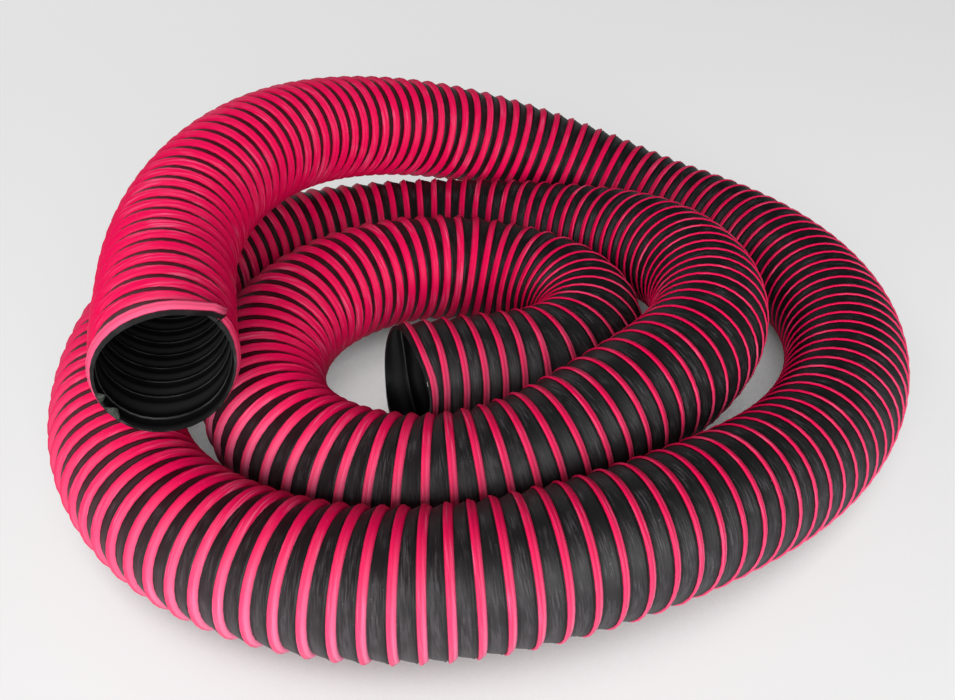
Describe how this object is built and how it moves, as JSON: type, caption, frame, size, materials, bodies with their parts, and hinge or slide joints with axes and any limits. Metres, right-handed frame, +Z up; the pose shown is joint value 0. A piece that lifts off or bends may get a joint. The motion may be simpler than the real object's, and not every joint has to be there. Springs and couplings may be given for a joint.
{
  "type": "coiled air hose",
  "caption": "Large-bore ribbed flexible air and extraction hose in a loose flat coil, black rubber with a wound wear strip and plain cut ends.",
  "frame": {"origin": "on the floor, midway along the coil's length and midway along its width", "axes": "+Z up from the floor, +Y from the side with the raised outer end's mouth towards the back of the coil, +X to the right seen from the front"},
  "size_m": [0.8067, 0.8039, 0.2532],
  "materials": {
    "hose_rubber": "matt black vulcanised rubber with a soft sheen on the ribs and a little dust",
    "wear_strip": "satin crimson pink plastic, scuffed, with a fine groove along its middle"
  },
  "bodies": {
    "root": {"hose_wall": "hose_rubber", "outer_end": "hose_rubber", "inner_end": "hose_rubber", "wear_strip": "wear_strip"}
  },
  "joints": []
}
